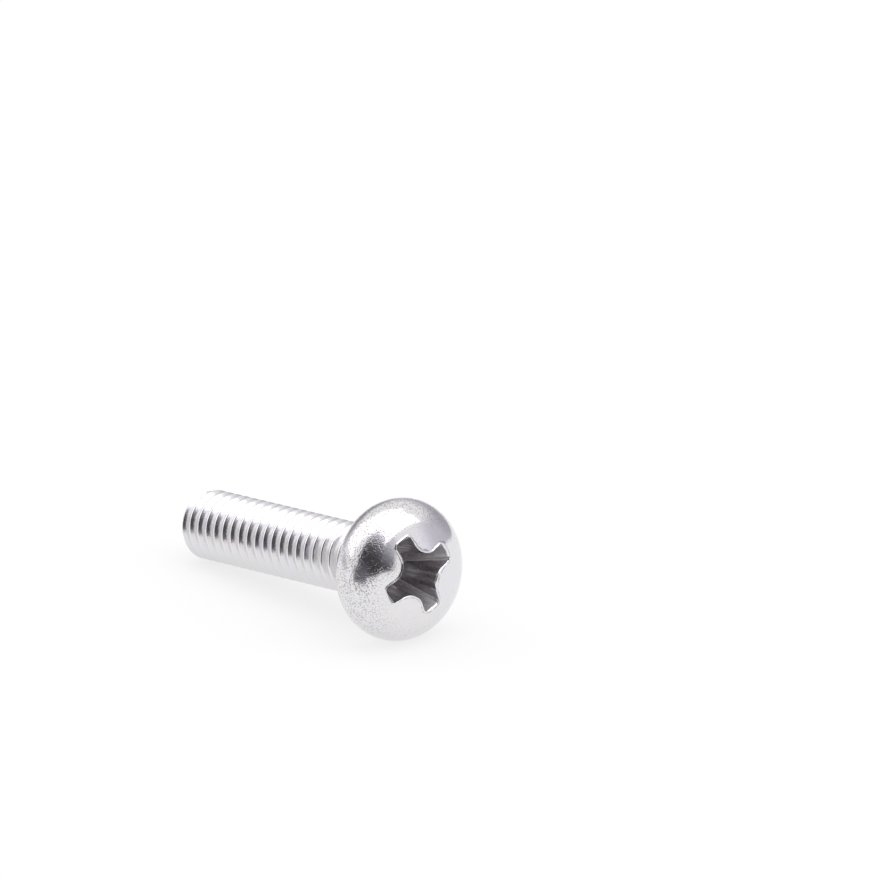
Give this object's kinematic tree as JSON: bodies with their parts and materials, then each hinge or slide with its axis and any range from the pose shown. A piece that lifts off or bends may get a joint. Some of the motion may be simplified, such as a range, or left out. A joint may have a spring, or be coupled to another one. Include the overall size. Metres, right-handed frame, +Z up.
{
  "type": "machine screw",
  "caption": "Pan-head machine screw with a cross recess, a domed head with a bulging side and a full-length rolled right-hand thread, lying on its side.",
  "frame": {"origin": "centre of the bearing face under the head, on the screw's axis", "axes": "+Z up as the screw lies on a level surface, +X level and from the head towards the thread end, so the screw's axis lies in the XZ plane and falls about 6.9 degrees towards the thread end"},
  "size_m": [0.0121, 0.005, 0.0049],
  "materials": {
    "screw": "bright stainless steel, tumbled, with a fine pitted skin on the side of the head"
  },
  "bodies": {
    "root": {"screw": "screw"}
  },
  "joints": []
}
